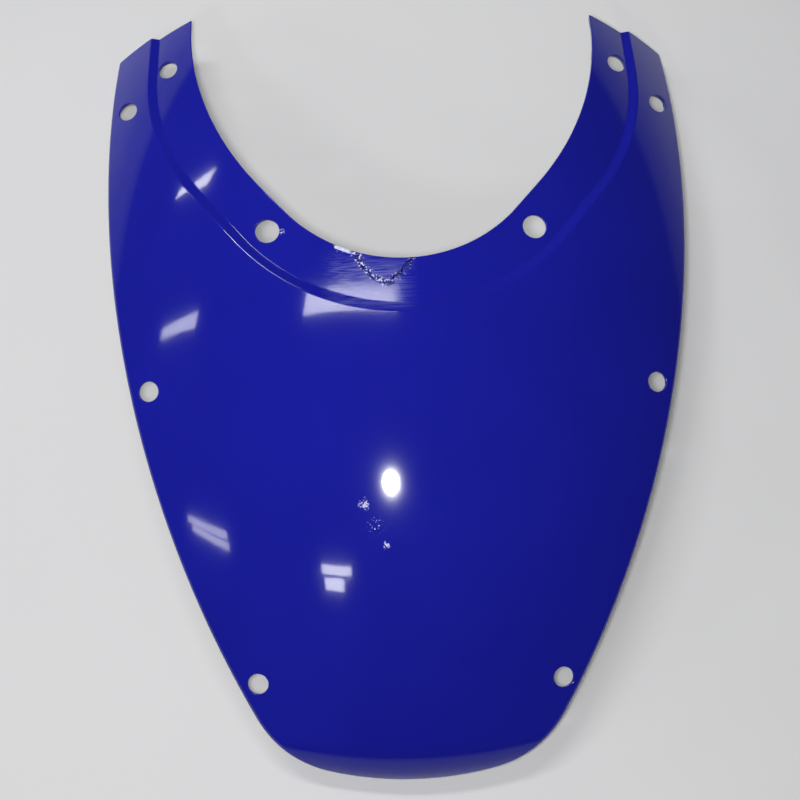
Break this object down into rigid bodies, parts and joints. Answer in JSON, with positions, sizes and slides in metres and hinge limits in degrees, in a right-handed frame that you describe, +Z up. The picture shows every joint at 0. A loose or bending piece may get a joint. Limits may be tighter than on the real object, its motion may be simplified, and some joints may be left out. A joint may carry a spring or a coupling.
{
  "type": "motorcycle fairing panel",
  "caption": "Domed glossy plastic nose fairing panel with two horns beside a U-shaped cut-out, a sunk windscreen flange, a turned-down edge and plain fixing holes.",
  "frame": {"origin": "centre of the panel's bounding box in plan, at the floor it rests on", "axes": "+Z up, +Y towards the two horns, -Y towards the nose, X across the panel; the panel lies on its horn corners and nose rim with its outer skin up"},
  "size_m": [0.318, 0.4298, 0.1141],
  "materials": {
    "painted_shell": "high gloss, deep blue paint under clear coat, worn at the bottom of the opening"
  },
  "bodies": {
    "root": {"fairing_panel": "painted_shell"}
  },
  "joints": []
}
